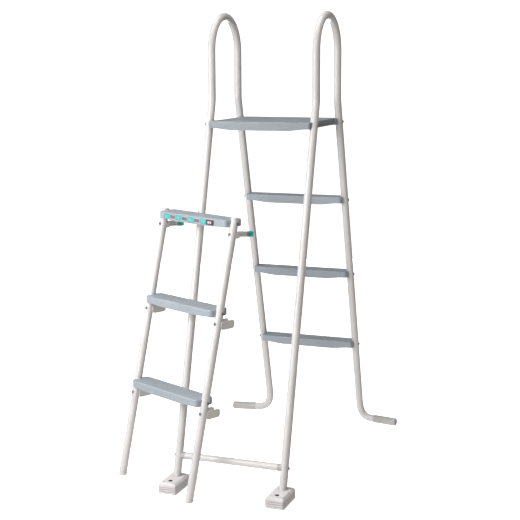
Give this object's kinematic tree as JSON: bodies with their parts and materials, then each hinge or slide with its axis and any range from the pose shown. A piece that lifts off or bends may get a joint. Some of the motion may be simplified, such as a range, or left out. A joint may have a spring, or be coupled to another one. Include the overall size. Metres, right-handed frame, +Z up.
{
  "type": "pool ladder",
  "caption": "A-frame pool ladder with bent handrails, a moulded platform and steps, weighted foot blocks and a separate lift-off outer ladder with guides and latches.",
  "frame": {"origin": "middle of the whole part's box, on the ground", "axes": "+Z up, +Y from the outer side towards the pool, +X across the ladder to the right of a person climbing from the outer side"},
  "size_m": [0.8016, 1.0942, 1.6374],
  "materials": {
    "powder_coat": "satin cream-white powder coat",
    "rail_end_plastic": "moulded, cream",
    "step_plastic": "fine moulded grain, blue-grey",
    "foot_block_plastic": "moulded, pale grey",
    "foot_cap_plastic": "soft moulded, light grey",
    "bracket_plastic": "glass-filled, grey-brown",
    "turquoise_latch": "gloss turquoise",
    "dark_bolts": "dark plated"
  },
  "bodies": {
    "a_frame": {"crossbar": "powder_coat", "left_crossbar_bolt": "dark_bolts", "left_crossbar_saddle": "foot_cap_plastic", "left_foot_block": "foot_block_plastic", "left_handrail": "powder_coat", "left_outer_leg": "powder_coat", "left_outer_platform_bolt": "dark_bolts", "left_pool_foot_cap": "foot_cap_plastic", "left_pool_leg": "powder_coat", "left_pool_platform_bolt": "dark_bolts", "lower_left_pool_step_bolt": "dark_bolts", "lower_pool_step": "step_plastic", "lower_right_pool_step_bolt": "dark_bolts", "middle_left_pool_step_bolt": "dark_bolts", "middle_pool_step": "step_plastic", "middle_right_pool_step_bolt": "dark_bolts", "platform": "step_plastic", "right_crossbar_bolt": "dark_bolts", "right_crossbar_saddle": "foot_cap_plastic", "right_foot_block": "foot_block_plastic", "right_handrail": "powder_coat", "right_outer_leg": "powder_coat", "right_outer_platform_bolt": "dark_bolts", "right_pool_foot_cap": "foot_cap_plastic", "right_pool_leg": "powder_coat", "right_pool_platform_bolt": "dark_bolts", "upper_left_pool_step_bolt": "dark_bolts", "upper_pool_step": "step_plastic", "upper_right_pool_step_bolt": "dark_bolts"},
    "lift_off_ladder": {"left_ladder_rail": "powder_coat", "left_latch_arm": "bracket_plastic", "left_latch_pin": "dark_bolts", "left_rail_foot": "rail_end_plastic", "left_rail_top_cap": "rail_end_plastic", "lower_ladder_step": "step_plastic", "lower_left_bracket_bolt": "dark_bolts", "lower_left_guide": "bracket_plastic", "lower_left_ladder_step_bolt": "dark_bolts", "lower_right_bracket_bolt": "dark_bolts", "lower_right_guide": "bracket_plastic", "lower_right_ladder_step_bolt": "dark_bolts", "middle_ladder_step": "step_plastic", "middle_left_bracket_bolt": "dark_bolts", "middle_left_guide": "bracket_plastic", "middle_left_ladder_step_bolt": "dark_bolts", "middle_right_bracket_bolt": "dark_bolts", "middle_right_guide": "bracket_plastic", "middle_right_ladder_step_bolt": "dark_bolts", "right_ladder_rail": "powder_coat", "right_latch_arm": "bracket_plastic", "right_latch_pin": "dark_bolts", "right_rail_foot": "rail_end_plastic", "right_rail_top_cap": "rail_end_plastic", "upper_ladder_step": "step_plastic", "upper_left_bracket_bolt": "dark_bolts", "upper_left_ladder_step_bolt": "dark_bolts", "upper_right_bracket_bolt": "dark_bolts", "upper_right_ladder_step_bolt": "dark_bolts"},
    "left_latch": {"left_latch": "turquoise_latch"},
    "right_latch": {"right_latch": "turquoise_latch"}
  },
  "joints": [
    {"name": "ladder_lift_off", "type": "slide", "parent": "a_frame", "child": "lift_off_ladder", "axis": [0, 0, 1], "range_m": [0, 0.25]},
    {"name": "left_latch_swing", "type": "hinge", "parent": "lift_off_ladder", "child": "left_latch", "pos_m": [-0.26573, -0.12086, 0.88368], "axis": [0.9007, -0.4344, 0], "range_deg": [0, 70]},
    {"name": "right_latch_swing", "type": "hinge", "parent": "lift_off_ladder", "child": "right_latch", "pos_m": [0.06825, -0.28195, 0.88368], "axis": [0.9007, -0.4344, 0], "range_deg": [0, 70]}
  ]
}
